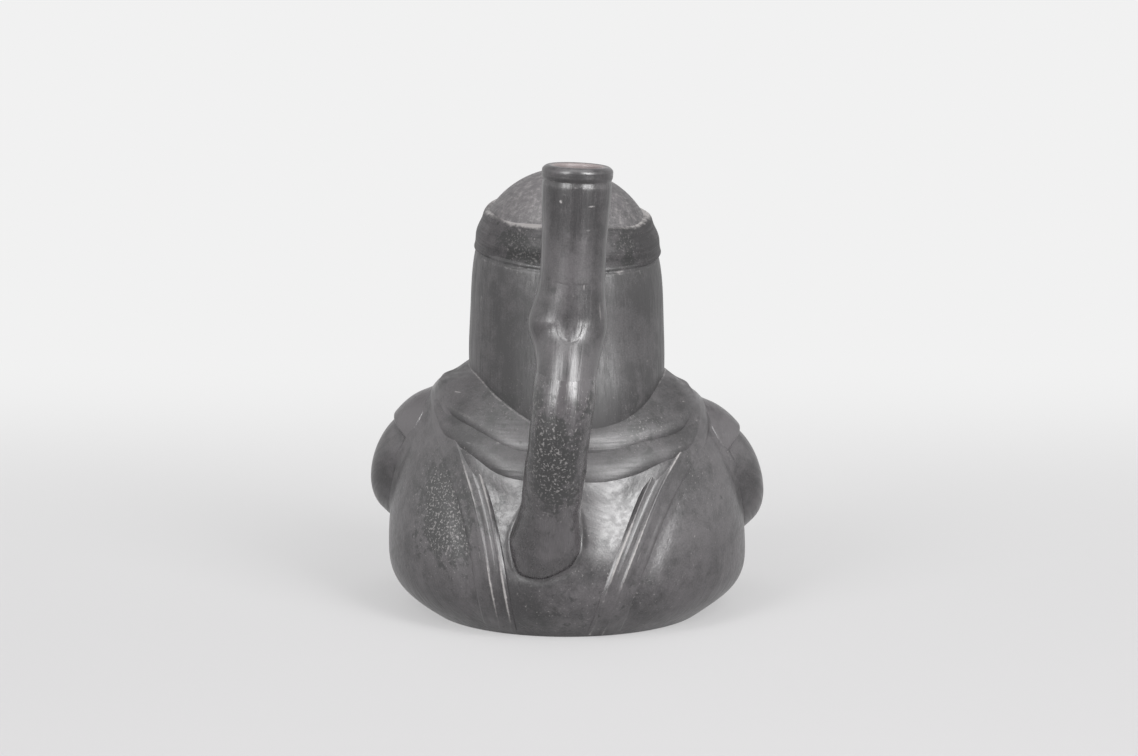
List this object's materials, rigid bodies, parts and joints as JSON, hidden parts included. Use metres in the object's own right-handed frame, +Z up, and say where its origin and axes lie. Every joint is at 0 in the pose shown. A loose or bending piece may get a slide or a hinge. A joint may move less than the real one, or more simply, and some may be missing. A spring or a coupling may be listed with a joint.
{
  "type": "stirrup-spout effigy bottle",
  "caption": "Blackware bottle shaped as a seated bust with cap, scarf and straps, with a tubular stirrup handle at the back that carries an upright spout.",
  "frame": {"origin": "middle of the flat base", "axes": "+Z up, the figure faces +Y, and the stirrup handle stands behind it at -Y"},
  "size_m": [0.1624, 0.1674, 0.1905],
  "materials": {
    "burnished_blackware": "burnished, satin",
    "matte_blackware": "unburnished, matte"
  },
  "bodies": {
    "root": {"base_slab": "matte_blackware", "torso_back": "burnished_blackware", "torso_front": "burnished_blackware", "hair_shell": "burnished_blackware", "face_shell": "burnished_blackware", "cap_crown": "burnished_blackware", "headband": "burnished_blackware", "scarf_collar": "burnished_blackware", "scarf_fold": "burnished_blackware", "strap_left": "burnished_blackware", "strap_right": "burnished_blackware", "sleeve_left": "burnished_blackware", "sleeve_right": "burnished_blackware", "arm_left": "burnished_blackware", "arm_right": "burnished_blackware", "stirrup_lower_leg": "burnished_blackware", "stirrup_bend": "burnished_blackware", "stirrup_upper_leg": "burnished_blackware", "lower_luting_collar": "burnished_blackware", "upper_luting_collar": "burnished_blackware", "junction_collar": "burnished_blackware", "spout_tube": "burnished_blackware", "spout_lip": "burnished_blackware"}
  },
  "joints": []
}
